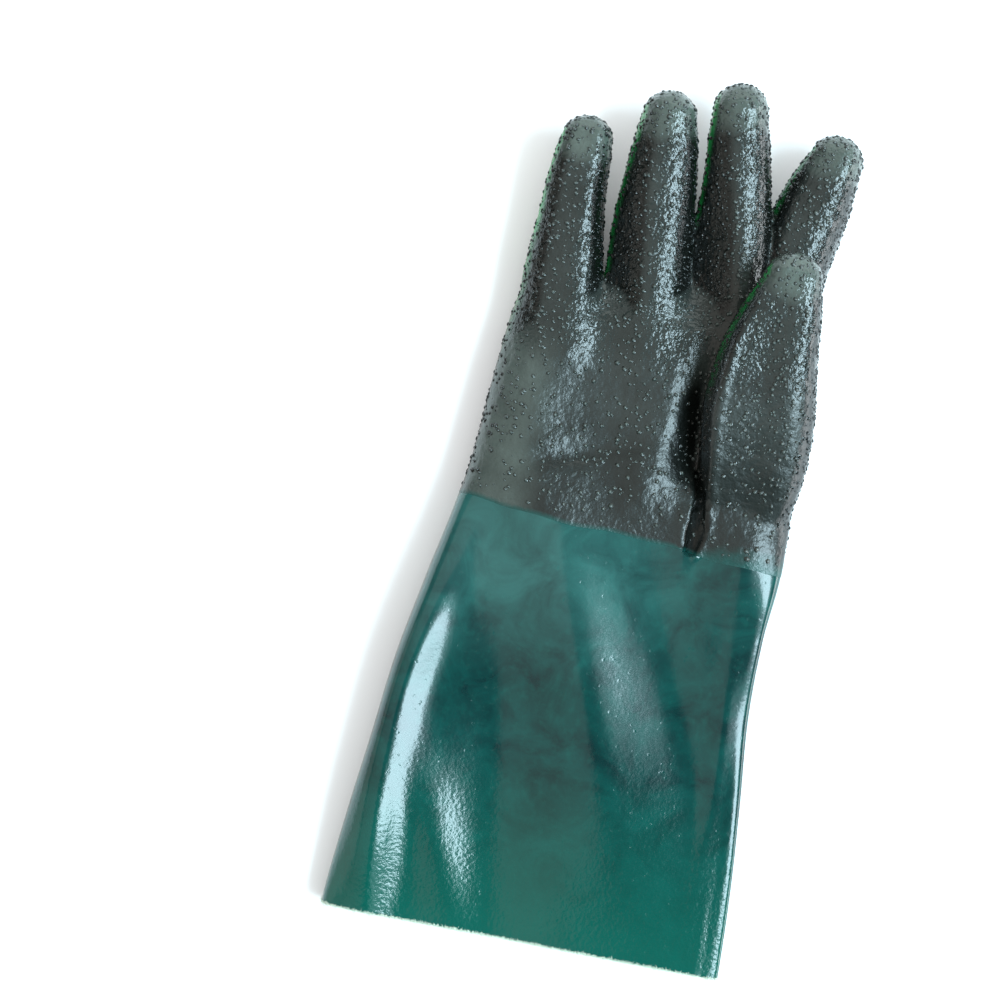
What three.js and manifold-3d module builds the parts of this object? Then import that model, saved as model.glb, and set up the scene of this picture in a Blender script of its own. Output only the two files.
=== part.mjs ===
// An abrasive blasting glove for the right hand, lying on its back with the palm up.
// A cotton-lined green sleeve carries a dark, grit-coated hand with four fingers and a thumb.
// Units are millimetres. X runs across the glove towards the thumb, Y from the hem to the fingertips,
// Z up from the surface that the glove lies on. The hollow is open from the hem to the fingertips.
import * as THREE from "three";
import { mergeVertices } from "three/addons/utils/BufferGeometryUtils.js";
import Module from "manifold-3d";

// Driving dimensions
const coatWall = 1.3; // the dipped coat of the sleeve
const liningWall = 1.1; // the knitted cotton inside it
const seatGap = 0.3; // between pieces that touch
const handWall = coatWall + seatGap + liningWall; // coat and lining as one wall
const hemAlong = 0;
const liningRecess = 0.8; // the lining is cut this much shorter than the coat at the hem
const dipAlong = 192; // where the dark dip of the hand ends
const knuckleAlong = 307; // the closed end of the palm, between the finger roots

const pointsAround = { body: 44, digit: 20 };
const sectionSteps = { sleeve: 13, palm: 11 }; // even steps between the rings of each
const capRings = 3; // rings that round a fingertip
const capEnd = 0.4; // how far short of a closed tip the last ring stops, in ring steps
const weldReach = 1e-4; // corners closer than this are one
const typicalSection = { wide: 86, deep: 14, square: 4 }; // spaces the body's points evenly
const undersideShare = 0.5; // the flat underside needs fewer points than the folded upper side

// The sleeve and palm from hem to knuckles, seen from above.
// press is how far the soft underside is pushed flat where the glove lies.
// slant leans a section: its Y falls by slant for each millimetre of X.
// square is the section's squareness on its left, squareRight on its right: 2 is an ellipse.
const bodyRows = [
  { along: 0, left: -93.3, right: 92.6, top: 22, under: 0, press: 4, slant: 0, square: 5.4, squareRight: 12 },
  { along: 40, left: -89.9, right: 90.7, top: 25, under: 0, press: 4, slant: 0, square: 5.4, squareRight: 12 },
  { along: 80, left: -85.4, right: 87.1, top: 28, under: 0, press: 4, slant: 0, square: 5.2, squareRight: 12 },
  { along: 120, left: -81.1, right: 83.1, top: 31, under: 0, press: 4, slant: 0, square: 4.8, squareRight: 11 },
  { along: 160, left: -73.6, right: 82.2, top: 36, under: 0, press: 4, slant: 0.03, square: 3.8, squareRight: 14 },
  { along: 192, left: -67, right: 84.3, top: 40, under: 0, press: 4, slant: 0.06, square: 3, squareRight: 11 },
  { along: 215, left: -63.9, right: 84, top: 41, under: 0, press: 4, slant: 0.04, square: 2.7, squareRight: 6 },
  { along: 240, left: -62.3, right: 81, top: 41, under: 0, press: 4, slant: 0.01, square: 2.6, squareRight: 2.6 },
  { along: 266, left: -60.7, right: 79, top: 39.5, under: 0, press: 4, slant: -0.04, square: 2.5, squareRight: 2.5 },
  { along: 286, left: -58.6, right: 77.6, top: 36.5, under: 0, press: 3, slant: -0.1, square: 2.4, squareRight: 2.4 },
  { along: 299, left: -55, right: 75, top: 31, under: 4, press: 1, slant: -0.14, square: 2.3, squareRight: 2.3 },
  { along: 307, left: -48, right: 69, top: 24, under: 10, press: 0, slant: -0.16, square: 2.3, squareRight: 2.3 },
];

// Long ridges and dents of the soft upper side: where, how far they reach, and how high.
const foldRows = [
  { name: "left rim", x: -79, y: 45, reachX: 13, reachY: 54, turn: -4, rise: 8.5 },
  { name: "upper rim", x: -77, y: 131, reachX: 13, reachY: 56, turn: 9, rise: 8.5 },
  { name: "low ridge", x: -50.7, y: 46, reachX: 11.5, reachY: 50, turn: -24.7, rise: 1.7 },
  { name: "middle valley", x: -24, y: 70, reachX: 24, reachY: 75, turn: -8, rise: -4 },
  { name: "slanting ridge", x: -2, y: 136, reachX: 18, reachY: 76, turn: -22, rise: 3.6 },
  { name: "slanting valley", x: 50, y: 116, reachX: 15, reachY: 66, turn: -24, rise: -1.9 },
  { name: "right fold", x: 72.5, y: 96, reachX: 5, reachY: 62, turn: -3, rise: 0.8 },
  { name: "right rim", x: 90, y: 66, reachX: 8, reachY: 84, turn: -5, rise: 1.2 },
  { name: "upper right rim", x: 86, y: 168, reachX: 10, reachY: 40, turn: 2, rise: 1.6 },
  { name: "wrist pinch", x: -50, y: 182, reachX: 13, reachY: 14, turn: 35, rise: -3 },
  { name: "thumb heel", x: 66, y: 200, reachX: 15, reachY: 30, turn: -6, rise: 3 },
  { name: "thumb flap", x: 37, y: 203, reachX: 4, reachY: 14, turn: -4.6, rise: 0.8 },
  { name: "thumb pleat", x: 44, y: 206, reachX: 5, reachY: 20, turn: 8, rise: -4.5 },
  { name: "thumb groove", x: 38, y: 256, reachX: 11, reachY: 17, turn: 0, rise: -9.5 },
  { name: "lower groove", x: 37.5, y: 233, reachX: 10.5, reachY: 14, turn: 0, rise: -10 },
  { name: "groove ridge", x: 14, y: 218, reachX: 8, reachY: 15, turn: 0, rise: 2 },
  { name: "palm hollow", x: -12, y: 248, reachX: 26, reachY: 38, turn: 0, rise: -4.5 },
  { name: "palm heel", x: -44, y: 240, reachX: 12, reachY: 40, turn: 0, rise: 2.4 },
];

// Each digit from its root inside the palm to the start of its rounded tip.
// wide and deep are half the section; roll turns the section about the digit.
// The left flank is pressed flat by a plane that leans flankLean degrees to the left.
// flank is how far off the centre line that plane lies, as a share of the section's reach.
const digits = [
  {
    name: "little",
    roll: -13,
    square: 3.2,
    flankLean: 50,
    rows: [
      { x: -35.5, y: 270, z: 19.6, wide: 16, deep: 15.6, flank: 0.95 },
      { x: -38.4, y: 298, z: 19.6, wide: 17.6, deep: 15.8, flank: 0.96 },
      { x: -40.2, y: 325, z: 22, wide: 15, deep: 14.4, flank: 0.98 },
      { x: -40.7, y: 344, z: 24.5, wide: 13.2, deep: 13, flank: 1 },
      { x: -40.3, y: 358, z: 27, wide: 12.1, deep: 11.9, flank: 1.05 },
      { x: -40, y: 366, z: 28.6, wide: 10.9, deep: 11, flank: 1.1 },
    ],
  },
  {
    name: "ring",
    roll: -5,
    square: 2.3,
    flankLean: 42,
    rows: [
      { x: 3.5, y: 268, z: 19.6, wide: 17.5, deep: 15.6, flank: 0.78 },
      { x: 0, y: 302, z: 21, wide: 19.2, deep: 17, flank: 0.79 },
      { x: -2.7, y: 330, z: 23.5, wide: 18.6, deep: 16, flank: 0.83 },
      { x: -3.6, y: 352, z: 27, wide: 16.9, deep: 14.8, flank: 0.94 },
      { x: -4.5, y: 370, z: 30.7, wide: 14.7, deep: 13.2, flank: 1.03 },
      { x: -5.2, y: 382, z: 33.2, wide: 12.3, deep: 12, flank: 1.1 },
    ],
  },
  {
    name: "middle",
    roll: -8,
    square: 2.3,
    flankLean: 40,
    rows: [
      { x: 40, y: 268, z: 17.5, wide: 16, deep: 15, flank: 0.68 },
      { x: 36.6, y: 305, z: 21.4, wide: 18.8, deep: 17, flank: 0.68 },
      { x: 33.6, y: 334, z: 24.4, wide: 17.9, deep: 16, flank: 0.71 },
      { x: 30.8, y: 359, z: 28.5, wide: 15.5, deep: 14.6, flank: 0.88 },
      { x: 27.8, y: 379, z: 32.4, wide: 13.6, deep: 13.2, flank: 1.01 },
      { x: 26, y: 391, z: 34.8, wide: 12.4, deep: 12.2, flank: 1.1 },
    ],
  },
  {
    name: "index",
    roll: -18,
    square: 2.6,
    flankLean: 50,
    rows: [
      { x: 54, y: 274, z: 18.8, wide: 15.5, deep: 15.4, flank: 0.95 },
      { x: 60, y: 308, z: 19, wide: 16.8, deep: 15.4, flank: 0.95 },
      { x: 63.8, y: 335, z: 20.5, wide: 16.7, deep: 15, flank: 1 },
      { x: 67.6, y: 354, z: 22.5, wide: 16.2, deep: 14, flank: 1.05 },
      { x: 71.2, y: 369, z: 25, wide: 14.2, deep: 12.8, flank: 1.1 },
      { x: 73.4, y: 377.5, z: 26.6, wide: 12, deep: 11.8, flank: 1.1 },
    ],
  },
  {
    name: "thumb",
    roll: -4,
    square: 3.4,
    flankLean: 60,
    rows: [
      { x: 61, y: 199, z: 21, wide: 14, deep: 12, flank: 1.1 },
      { x: 62.4, y: 214, z: 27, wide: 20, deep: 15.4, flank: 1.1 },
      { x: 61.6, y: 236, z: 35, wide: 24, deep: 17, flank: 1.1 },
      { x: 59.4, y: 260, z: 42, wide: 25, deep: 17.4, flank: 1.1 },
      { x: 58.8, y: 284, z: 48, wide: 21.8, deep: 16, flank: 1.1 },
      { x: 61, y: 304, z: 52.4, wide: 17.6, deep: 14, flank: 1.1 },
      { x: 62.4, y: 318, z: 55.2, wide: 13, deep: 12, flank: 1.1 },
    ],
  },
];

// Smooth value of every column of a table at a place between its rows.
function between(rows, place) {
  const last = rows.length - 1;
  const at = Math.min(Math.max(place, 0), last);
  const i = Math.min(Math.floor(at), last - 1);
  const t = at - i;
  const row = (k) => rows[Math.min(Math.max(k, 0), last)];
  const mixed = {};
  for (const key of Object.keys(rows[0])) {
    const [a, b, c, d] = [row(i - 1)[key], row(i)[key], row(i + 1)[key], row(i + 2)[key]];
    const bend = (2 * a - 5 * b + 4 * c - d) * t * t + (3 * b - a - 3 * c + d) * t * t * t;
    mixed[key] = b + ((c - a) * t + bend) / 2;
  }
  return mixed;
}

// The body's row at a distance from the hem.
function bodyAt(along) {
  const next = bodyRows.findIndex((row) => row.along >= along);
  const i = Math.max((next < 0 ? bodyRows.length : next) - 1, 0);
  const [low, high] = [bodyRows[i], bodyRows[Math.min(i + 1, bodyRows.length - 1)]];
  const share = high.along > low.along ? (along - low.along) / (high.along - low.along) : 0;
  const row = between(bodyRows, i + share);
  return { ...row, along, under: Math.max(row.under, 0) };
}

// How far the folds lift the upper side at a point seen from above.
function foldLift(x, y) {
  return foldRows.reduce((sum, fold) => {
    const turn = THREE.MathUtils.degToRad(fold.turn);
    const across = (x - fold.x) * Math.cos(turn) - (y - fold.y) * Math.sin(turn);
    const down = (x - fold.x) * Math.sin(turn) + (y - fold.y) * Math.cos(turn);
    return sum + fold.rise * Math.exp(-((across / fold.reachX) ** 2) - (down / fold.reachY) ** 2);
  }, 0);
}

// A point of a section one unit wide and deep: cosine and sine over (|cos|^n + |sin|^n)^(1/n).
function sectionPoint(angle, square) {
  const [c, s] = [Math.cos(angle), Math.sin(angle)];
  const reach = (Math.abs(c) ** square + Math.abs(s) ** square) ** (1 / square);
  return [c / reach, s / reach];
}

// Angles at even steps along the outline of the typical section.
function outlineAngles(count) {
  const { wide, deep, square } = typicalSection;
  const fineSteps = 3600;
  const lengths = [0];
  let [lastX, lastZ] = sectionPoint(0, square);
  for (let i = 1; i <= fineSteps; i += 1) {
    const [x, z] = sectionPoint((2 * Math.PI * i) / fineSteps, square);
    const share = i <= fineSteps / 2 ? 1 : undersideShare;
    lengths.push(lengths[i - 1] + share * Math.hypot((x - lastX) * wide, (z - lastZ) * deep));
    [lastX, lastZ] = [x, z];
  }
  return Array.from({ length: count }, (_, k) => {
    const goal = (lengths[fineSteps] * k) / count;
    const i = Math.max(lengths.findIndex((length) => length >= goal), 1);
    const part = (goal - lengths[i - 1]) / (lengths[i] - lengths[i - 1]);
    return (2 * Math.PI * (i - 1 + part)) / fineSteps;
  });
}

const bodyAngles = outlineAngles(pointsAround.body);

// A ring in an XZ plane with every side moved inwards by inset.
function insetRing(ring, inset) {
  const outwards = (from, to) => new THREE.Vector2(to.z - from.z, from.x - to.x).normalize();
  return ring.map((point, k) => {
    const before = outwards(ring.at(k - 1), point);
    const after = outwards(point, ring[(k + 1) % ring.length]);
    const mitre = before.add(after);
    mitre.multiplyScalar((2 * inset) / mitre.lengthSq());
    return new THREE.Vector3(point.x - mitre.x, point.y, point.z - mitre.y);
  });
}

// One ring of the body, moved inwards from the outer face by inset.
function bodyRing(along, inset) {
  const row = bodyAt(along);
  const centre = (row.left + row.right) / 2;
  const wide = (row.right - row.left) / 2;
  const middle = (row.top + row.under - row.press) / 2;
  const deep = (row.top - row.under + row.press) / 2;
  const ring = bodyAngles.map((angle) => {
    const [aside, rise] = sectionPoint(angle, Math.cos(angle) > 0 ? row.squareRight : row.square);
    const x = centre + wide * aside;
    const z = middle + deep * rise + Math.max(rise, 0) * foldLift(x, along);
    return new THREE.Vector3(x, along, Math.max(z, row.under));
  });
  const leaned = ({ x, y, z }) => new THREE.Vector3(x, y - row.slant * x, z);
  return insetRing(ring, inset).map(leaned);
}

// One ring of a digit, square to its centre line and moved inwards by inset; size shrinks it at the tip.
function digitRing({ roll, square, flankLean }, row, centre, tangent, inset, size = 1) {
  const side = new THREE.Vector3(0, 0, 1).cross(tangent).negate().normalize();
  side.applyAxisAngle(tangent, THREE.MathUtils.degToRad(roll));
  const up = side.clone().cross(tangent);
  const lean = THREE.MathUtils.degToRad(-flankLean - roll);
  const [aside, upwards] = [Math.sin(lean), Math.cos(lean)];
  const dual = square / (square - 1);
  const support = Math.abs(row.wide * aside) ** dual + Math.abs(row.deep * upwards) ** dual;
  const flankReach = row.flank * support ** (1 / dual) - inset;
  return Array.from({ length: pointsAround.digit }, (_, k) => {
    const [c, s] = sectionPoint((2 * Math.PI * k) / pointsAround.digit, square);
    const [across, rise] = [(row.wide - inset) * size * c, (row.deep - inset) * size * s];
    const past = Math.max(across * aside + rise * upwards - flankReach, 0);
    return centre
      .clone()
      .addScaledVector(side, across - past * aside)
      .addScaledVector(up, rise - past * upwards);
  });
}

// The rings of a digit from root to tip, moved inwards by inset.
function digitRings(digit, inset) {
  const { rows } = digit;
  const point = (row) => new THREE.Vector3(row.x, row.y, row.z);
  const line = new THREE.CatmullRomCurve3(rows.map(point), false, "centripetal");
  const last = rows.length - 1;
  const rings = rows.map((row, i) => digitRing(digit, row, point(row), line.getTangent(i / last), inset));
  const end = rows[last];
  const ahead = line.getTangent(1);
  const reach = (end.wide + end.deep) / 2 - inset;
  for (let k = 1; k <= capRings; k += 1) {
    const angle = (Math.PI / 2) * (k / (capRings + capEnd));
    const centre = point(end).addScaledVector(ahead, reach * Math.sin(angle));
    rings.push(digitRing(digit, end, centre, ahead, inset, Math.cos(angle)));
  }
  return rings;
}

// A closed solid through a row of rings, with a flat fan at each end.
function loft(rings) {
  const count = rings[0].length;
  const corners = rings.flat();
  const faces = [];
  for (let i = 0; i + 1 < rings.length; i += 1) {
    for (let k = 0; k < count; k += 1) {
      const [a, b] = [i * count + k, i * count + ((k + 1) % count)];
      faces.push(a, a + count, b, b, a + count, b + count);
    }
  }
  for (const [start, ring] of [[0, rings[0]], [corners.length - count, rings[rings.length - 1]]]) {
    const hub = corners.length;
    corners.push(ring.reduce((sum, p) => sum.add(p), new THREE.Vector3()).divideScalar(count));
    for (let k = 0; k < count; k += 1) {
      const [a, b] = [start + k, start + ((k + 1) % count)];
      faces.push(hub, ...(start === 0 ? [a, b] : [b, a]));
    }
  }
  const geometry = new THREE.BufferGeometry().setFromPoints(corners);
  geometry.setIndex(faces);
  return geometry;
}

// A closed tube between an outer and an inner row of rings, open at both ends.
// Inside and outside faces are split along the same diagonals, so the wall stays even.
function sleeveTube(outer, inner) {
  const count = outer[0].length;
  const loops = [...outer, ...[...inner].reverse()];
  const faces = [];
  loops.forEach((_, i) => {
    const next = (i + 1) % loops.length;
    const inside = i >= outer.length;
    for (let k = 0; k < count; k += 1) {
      const side = (k + 1) % count;
      const [a, b, c, d] = [i * count + k, i * count + side, next * count + k, next * count + side];
      faces.push(...(inside ? [a, c, d, a, d, b] : [a, c, b, b, c, d]));
    }
  });
  const geometry = new THREE.BufferGeometry().setFromPoints(loops.flat());
  geometry.setIndex(faces);
  return geometry;
}

// Evenly spaced distances from the hem between two places.
function steps(from, to, count) {
  return Array.from({ length: count + 1 }, (_, i) => from + ((to - from) * i) / count);
}

// manifold-3d joins and cuts
const wasm = await Module();
wasm.setup();

function toSolid(geometry) {
  const bare = geometry.clone();
  bare.deleteAttribute("normal");
  bare.deleteAttribute("uv");
  const merged = mergeVertices(bare, weldReach);
  const vertProperties = merged.getAttribute("position").array;
  const triVerts = new Uint32Array(merged.index.array);
  return new wasm.Manifold(new wasm.Mesh({ numProp: 3, vertProperties, triVerts }));
}

function toGeometry(solid) {
  const mesh = solid.getMesh();
  const geometry = new THREE.BufferGeometry();
  geometry.setAttribute("position", new THREE.BufferAttribute(mesh.vertProperties, 3));
  geometry.setIndex(new THREE.BufferAttribute(mesh.triVerts, 1));
  return geometry;
}

// The palm and all five digits as one solid, moved inwards by inset.
function handSolid(inset, start) {
  const rings = steps(start, knuckleAlong - inset, sectionSteps.palm).map((along) => bodyRing(along, inset));
  return digits.reduce(
    (hand, digit) => hand.add(toSolid(loft(digitRings(digit, inset)))),
    toSolid(loft(rings)),
  );
}

// Materials
const greenCoat = new THREE.MeshStandardMaterial({ color: 0x1c6a5c, roughness: 0.28, metalness: 0 });
const darkGrit = new THREE.MeshStandardMaterial({ color: 0x1b201f, roughness: 0.36, metalness: 0 });
const cotton = new THREE.MeshStandardMaterial({ color: 0xd9ddcf, roughness: 0.95, metalness: 0 });

function piece(name, geometry, material) {
  const mesh = new THREE.Mesh(geometry, material);
  mesh.name = name;
  mesh.geometry.computeVertexNormals();
  return mesh;
}

const sleevePlaces = steps(hemAlong, dipAlong - seatGap, sectionSteps.sleeve);

// The green sleeve: a flattened tube, flared towards the hem
function gauntletSleeve() {
  const outer = sleevePlaces.map((along) => bodyRing(along, 0));
  const inner = sleevePlaces.map((along) => bodyRing(along, coatWall));
  return piece("gauntlet_sleeve", sleeveTube(outer, inner), greenCoat);
}

// The cotton lining: shows at the cut hem and down the mouth of the sleeve
function cottonLining() {
  const places = [hemAlong + liningRecess, ...sleevePlaces.slice(1)];
  const outer = places.map((along) => bodyRing(along, coatWall + seatGap));
  const inner = places.map((along) => bodyRing(along, handWall));
  return piece("cotton_lining", sleeveTube(outer, inner), cotton);
}

// The dark hand: a hollow palm with hollow digits, open at the wrist
function gritHand() {
  const overrun = 6; // the hollow runs past the open end so that the cut is clean
  const solid = handSolid(0, dipAlong).subtract(handSolid(handWall, dipAlong - overrun));
  return piece("grit_hand", toGeometry(solid), darkGrit);
}

const glove = new THREE.Group();
glove.add(gauntletSleeve(), cottonLining(), gritHand());

// The origin is under the middle of the glove, on the surface that it lies on
const reach = new THREE.Box3().setFromObject(glove);
const middle = reach.getCenter(new THREE.Vector3());
glove.position.set(-middle.x, -middle.y, -reach.min.z);

export default glove;
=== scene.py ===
import math
import bpy
import numpy as np
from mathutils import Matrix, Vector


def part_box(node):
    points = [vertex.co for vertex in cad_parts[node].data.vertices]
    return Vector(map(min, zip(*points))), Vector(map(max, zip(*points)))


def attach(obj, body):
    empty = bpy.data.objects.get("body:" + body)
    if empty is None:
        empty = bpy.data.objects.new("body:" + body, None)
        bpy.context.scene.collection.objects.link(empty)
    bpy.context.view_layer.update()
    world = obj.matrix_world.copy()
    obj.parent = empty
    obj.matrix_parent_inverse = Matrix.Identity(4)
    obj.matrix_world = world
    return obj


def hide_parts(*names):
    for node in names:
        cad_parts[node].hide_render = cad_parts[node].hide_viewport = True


# Abrasive blasting glove, right hand, lying on its back with the palm up.
# Shapes are worked out in millimetres from the hem: x across towards the thumb, y along to the
# fingertips, z up from the surface. placeInRow turns them into the row's metres.
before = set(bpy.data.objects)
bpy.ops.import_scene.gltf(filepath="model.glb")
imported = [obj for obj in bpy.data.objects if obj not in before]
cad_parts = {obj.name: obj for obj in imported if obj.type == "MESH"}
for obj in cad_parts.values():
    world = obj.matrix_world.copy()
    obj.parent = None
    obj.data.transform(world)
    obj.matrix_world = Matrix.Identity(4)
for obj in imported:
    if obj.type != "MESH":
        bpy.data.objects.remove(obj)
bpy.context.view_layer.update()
random = np.random.default_rng(5436)

section = {
    "dipAlong": 192.0,  # where the dark dip of the hand ends
    "dipSlant": -0.06,
    "dipWaves": ((0.8, 13, 0), (0.4, 5.1, 1)),  # height, length over 2 pi, and where each starts
    "knuckleAlong": 307.0,  # the end of the palm, between the finger roots
    "softEdge": 2.5,  # how softly the pressed underside turns up
    "closedEdge": 6.0,  # how softly the palm closes between the fingers
    "sag": 3.2,  # how far the sleeve's right side falls in
    "sagReach": 0.45,  # of its half height
    "sagAlong": (186, 141),  # it starts at the first and is full at the second
    "typical": (86, 14, 4),  # half width, half depth and squareness that space the columns evenly
}

# The sleeve and palm: along, left, right, top, under, press, slant, and how square the section is
# on its left and on its right (2 is an ellipse)
bodyRows = np.array([
    (0, -93.3, 92.6, 22, 0, 4, 0, 5.4, 12),
    (40, -89.9, 90.7, 25, 0, 4, 0, 5.4, 12),
    (80, -85.4, 87.1, 28, 0, 4, 0, 5.2, 12),
    (120, -81.1, 83.1, 31, 0, 4, 0, 4.8, 11),
    (160, -73.6, 82.2, 36, 0, 4, 0.03, 3.8, 14),
    (192, -67, 84.3, 40, 0, 4, 0.06, 3, 11),
    (215, -63.9, 84, 41, 0, 4, 0.04, 2.7, 6),
    (240, -62.3, 81, 41, 0, 4, 0.01, 2.6, 2.6),
    (266, -60.7, 79, 39.5, 0, 4, -0.04, 2.5, 2.5),
    (286, -58.6, 77.6, 36.5, 0, 3, -0.1, 2.4, 2.4),
    (299, -55, 75, 31, 4, 1, -0.14, 2.3, 2.3),
    (307, -48, 69, 24, 10, 0, -0.16, 2.3, 2.3),
])

# Folds of the upper side: x, y, reach across, reach along, turn in degrees, rise
foldRows = np.array([
    (-79, 45, 13, 54, -4, 8.5),  # left rim, curled up
    (-77, 131, 13, 56, 9, 8.5),  # left rim towards the wrist
    (-50.7, 46, 11.5, 50, -24.7, 1.7),  # low ridge that leaves the left rim slantwise
    (-24, 70, 24, 75, -8, -4),  # middle valley
    (-2, 136, 18, 76, -22, 3.6),  # ridge that runs slantwise from the wrist
    (50, 116, 15, 66, -24, -1.9),  # valley along its right side
    (72.5, 96, 5, 62, -3, 0.8),  # small fold beside the right rim
    (90, 66, 8, 84, -5, 1.2),  # right rim
    (86, 168, 10, 40, 2, 1.6),  # right rim towards the wrist
    (88.5, 184, 3.5, 30, 2, 1.2),  # low ridge on the right edge at the wrist
    (81, 10, 1.3, 42, -2, 0.25),  # crease beside the right rim, at the hem
    (-50, 182, 13, 14, 35, -3),  # wrist pinch
    (-20, 223, 36, 5, -21, -1.8),  # crease across the palm above the wrist
    (66, 200, 15, 30, -6, 3),  # thumb heel
    (37, 203, 4, 14, -4.6, 0.8),  # flap beside the slit
    (38, 256, 11, 17, 0, -9.5),  # groove that the thumb lies over
    (37.5, 233, 10.5, 14, 0, -10),  # lower end of the groove
    (14, 218, 8, 15, 0, 2),  # ridge beside the groove
    (-12, 248, 26, 38, 0, -4.5),  # hollow of the palm
    (-44, 240, 12, 40, 0, 2.4),  # heel of the palm
])

# The slit where the thumb's ball folds over the wrist, a drop with a hooked lower end:
# x, y and half width along its middle
slitRows = np.array([
    (36.2, 230.2, 0.4),
    (41.2, 214.3, 2.9),
    (41.9, 200, 4.5),
    (41, 191.5, 3.6),
])
slit = {
    "depth": 5.8,
    "wall": 1.0,  # how far its side runs from the edge down to the floor
    "floorRise": 0.9,  # of the depth, from its left side to its right
    "lip": 0.7,  # height of the thin edge along its right side
    "lipPlace": 0.8,
    "lipReach": 0.7,
    "lipAcross": (0.4, 0.9),  # of the half width, where that edge starts and where it is full
}

# Each digit from its root inside the palm to its rounded tip: x, y, z, half width, half depth.
# roll turns the section about the digit. Its left flank is pressed flat: a plane that leans flankLean
# degrees to the left, at flankShare of the section's reach from the centre line, one for each row.
digits = {
    "little": {"roll": -13, "square": 3.2, "flankLean": 50, "flankShare": (0.95, 0.96, 0.98, 1, 1.05, 1.1),
               "rows": np.array([
        (-35.5, 270, 19.6, 16, 15.6),
        (-38.4, 298, 19.6, 17.6, 15.8),
        (-40.2, 325, 22, 15, 14.4),
        (-40.7, 344, 24.5, 13.2, 13),
        (-40.3, 358, 27, 12.1, 11.9),
        (-40, 366, 28.6, 10.9, 11),
    ])},
    "ring": {"roll": -5, "square": 2.3, "flankLean": 42, "flankShare": (0.78, 0.79, 0.83, 0.94, 1.03, 1.1),
             "rows": np.array([
        (3.5, 268, 19.6, 17.5, 15.6),
        (0, 302, 21, 19.2, 17),
        (-2.7, 330, 23.5, 18.6, 16),
        (-3.6, 352, 27, 16.9, 14.8),
        (-4.5, 370, 30.7, 14.7, 13.2),
        (-5.2, 382, 33.2, 12.3, 12),
    ])},
    "middle": {"roll": -8, "square": 2.3, "flankLean": 40, "flankShare": (0.68, 0.68, 0.71, 0.88, 1.01, 1.1),
               "rows": np.array([
        (40, 268, 17.5, 16, 15),
        (36.6, 305, 21.4, 18.8, 17),
        (33.6, 334, 24.4, 17.9, 16),
        (30.8, 359, 28.5, 15.5, 14.6),
        (27.8, 379, 32.4, 13.6, 13.2),
        (26, 391, 34.8, 12.4, 12.2),
    ])},
    "index": {"roll": -18, "square": 2.6, "flankLean": 50, "flankShare": (0.95, 0.95, 1, 1.05, 1.1, 1.1),
              "rows": np.array([
        (54, 274, 18.8, 15.5, 15.4),
        (60, 308, 19, 16.8, 15.4),
        (63.8, 335, 20.5, 16.7, 15),
        (67.6, 354, 22.5, 16.2, 14),
        (71.2, 369, 25, 14.2, 12.8),
        (73.4, 377.5, 26.6, 12, 11.8),
    ])},
    "thumb": {"roll": -4, "square": 3.4, "flankLean": 60, "flankShare": (1.1,) * 7,
              "rows": np.array([
        (61, 199, 21, 14, 12),
        (62.4, 214, 27, 20, 15.4),
        (61.6, 236, 35, 24, 17),
        (59.4, 260, 42, 25, 17.4),
        (58.8, 284, 48, 21.8, 16),
        (61, 304, 52.4, 17.6, 14),
        (62.4, 318, 55.2, 13, 12),
    ])},
}

sleeveLow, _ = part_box("gauntlet_sleeve")
gloveShift = np.array([sleeveLow.x * 1000 - bodyRows[0, 1], sleeveLow.y * 1000, 0.0])


def placeInRow(points):
    # row metres = (glove millimetres + shift) / 1000
    return (points + gloveShift) / 1000


def between(value, start, end):
    # 0 up to start, 1 from end on, straight in between
    return np.clip((value - start) / (end - start), 0, 1)


def eased(t):
    # 3 t^2 - 2 t^3
    return t * t * (3 - 2 * t)


def unit(vectors):
    # v / |v|
    return vectors / np.linalg.norm(vectors, axis=-1, keepdims=True)


def splineRows(rows, place):
    # Catmull-Rom: b + ((c - a) t + (2a - 5b + 4c - d) t^2 + (3b - a - 3c + d) t^3) / 2
    last = len(rows) - 1
    place = np.clip(place, 0, last)
    i = np.minimum(place.astype(int), last - 1)
    t = (place - i)[..., None]
    a, b, c, d = (rows[np.clip(i + k, 0, last)] for k in (-1, 0, 1, 2))
    return b + ((c - a) * t + (2 * a - 5 * b + 4 * c - d) * t**2 + (3 * b - a - 3 * c + d) * t**3) / 2


def bodyAt(along):
    # The body's columns at a distance from the hem, with the underside never below the surface
    place = np.interp(along, bodyRows[:, 0], np.arange(len(bodyRows)))
    columns = np.moveaxis(splineRows(bodyRows, place), -1, 0)
    _, left, right, top, under, press, slant, leftSquare, rightSquare = columns
    under = np.maximum(under, 0)
    middle = (top + under - press) / 2
    deep = (top - under + press) / 2
    return (left + right) / 2, (right - left) / 2, middle, deep, under, slant, leftSquare, rightSquare


def foldLift(x, y):
    # Sum of rise * exp(-(across / reach)^2 - (down / reach)^2), each fold in its own turned axes
    lift = np.zeros(np.broadcast(x, y).shape)
    for foldX, foldY, reachX, reachY, turn, rise in foldRows:
        c, s = math.cos(math.radians(turn)), math.sin(math.radians(turn))
        across = (x - foldX) * c - (y - foldY) * s
        down = (x - foldX) * s + (y - foldY) * c
        lift += rise * np.exp(-((across / reachX) ** 2) - (down / reachY) ** 2)
    return lift


def smoothMin(a, b, k):
    # min(a, b) - h^2 k / 4, with h = max(k - |a - b|, 0) / k
    h = np.maximum(k - np.abs(a - b), 0) / k
    return np.minimum(a, b) - h * h * k / 4


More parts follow.
